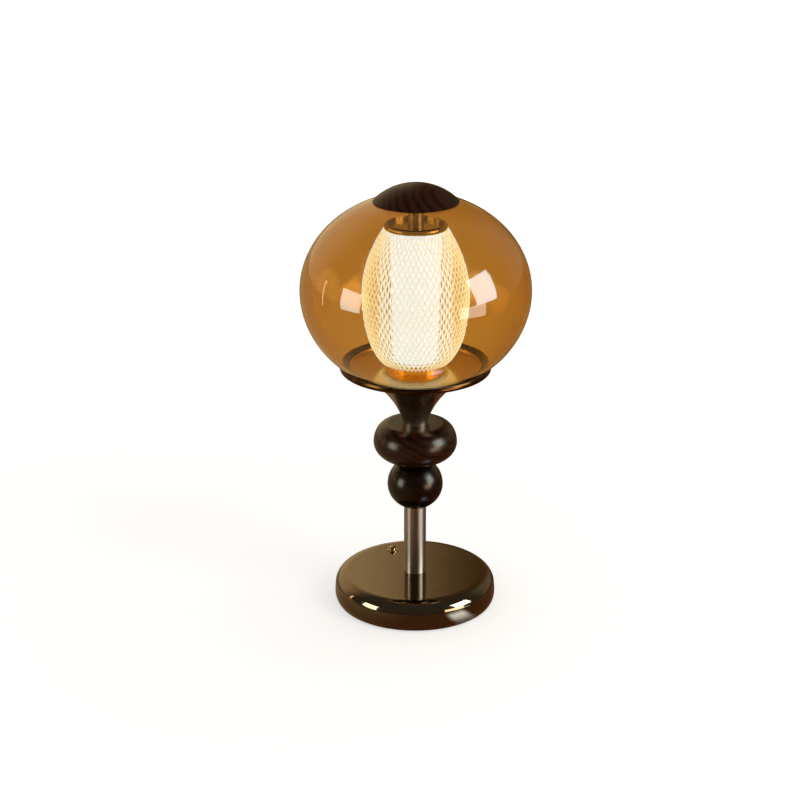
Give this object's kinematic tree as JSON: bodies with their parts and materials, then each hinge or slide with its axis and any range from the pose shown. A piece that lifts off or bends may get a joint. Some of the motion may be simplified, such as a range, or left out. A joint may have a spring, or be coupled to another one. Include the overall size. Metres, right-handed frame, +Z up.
{
  "type": "cordless table lamp",
  "caption": "Cordless table lamp: amber glass globe over a diamond-cut light barrel, turned wooden beads, slim stem, weighted round base, wooden cap.",
  "frame": {"origin": "on the lamp's axis, at table level under the foot ring", "axes": "+Z up along the lamp's axis, +Y towards the charge socket at the rear, +X to the right seen from the front"},
  "size_m": [0.2, 0.2, 0.3863],
  "materials": {
    "bronze": "polished dark bronze plating",
    "switch_metal": "polished",
    "wood": "satin-oiled dark walnut",
    "amber_glass": "clear, tinted amber",
    "clear_acrylic": "clear, diamond-cut outside",
    "opal": "opal, evenly lit",
    "steel": "zinc-plated",
    "dark_steel": "matt black",
    "cast_iron": "raw casting",
    "aluminium": "plain extruded",
    "brass": "turned",
    "nickel": "nickel-plated strip",
    "rubber": "matt",
    "clear_rubber": "translucent, satin",
    "black_plastic": "fine texture",
    "white_plastic": "satin",
    "board": "solder mask, semi-gloss",
    "cell_wrap": "shrink sleeve",
    "lead": "smooth",
    "led": "lit, warm white"
  },
  "bodies": {
    "lamp": {"base_shell": "bronze", "bottom_cover": "dark_steel", "cover_screws": "steel", "foot_ring": "rubber", "base_weight": "cast_iron", "battery_tray": "black_plastic", "battery_cells": "cell_wrap", "battery_contacts": "nickel", "battery_lead": "lead", "control_board": "board", "board_screws": "steel", "board_components": "black_plastic", "usb_socket": "steel", "socket_tongue": "black_plastic", "port_bezel": "black_plastic", "switch_body": "switch_metal", "switch_nut": "steel", "switch_spring": "steel", "switch_lead": "lead", "base_washer": "steel", "base_nut": "steel", "centre_rod": "steel", "stem_tube": "bronze", "stem_bushes": "aluminium", "lower_bead": "wood", "upper_bead": "wood", "trumpet_neck": "bronze", "dish": "bronze", "globe_seal": "clear_rubber", "glass_globe": "amber_glass", "seat_cup": "bronze", "gallery_nut": "steel", "tube_holder": "white_plastic", "heat_sink": "aluminium", "led_boards": "white_plastic", "led_chips": "led", "lamp_lead": "lead", "opal_tube": "opal", "diamond_barrel": "clear_acrylic", "barrel_ring": "bronze", "spacer_sleeve": "bronze"},
    "button": {"switch_button": "switch_metal"},
    "cap_carrier": {"cap_cushion": "clear_rubber"},
    "cap": {"wood_cap": "wood", "cap_insert": "brass"}
  },
  "joints": [
    {"name": "switch_press", "type": "slide", "parent": "lamp", "child": "button", "axis": [0, 0, -1], "range_m": [0, 0.0012], "stiffness_N_per_m": 400, "springref_m": -0.003, "deforming": ["switch_spring"]},
    {"name": "cap_lift", "type": "slide", "parent": "lamp", "child": "cap_carrier", "axis": [0, 0, 1], "range_m": [0, 0.005]},
    {"name": "cap_turn", "type": "hinge", "parent": "cap_carrier", "child": "cap", "pos_m": [0, 0, 0.371], "axis": [0, 0, 1], "range_deg": [0, 1800]}
  ],
  "couplings": [
    {"joint": "cap_lift", "follows": "cap_turn", "m_per_rad": 0.00015915}
  ]
}
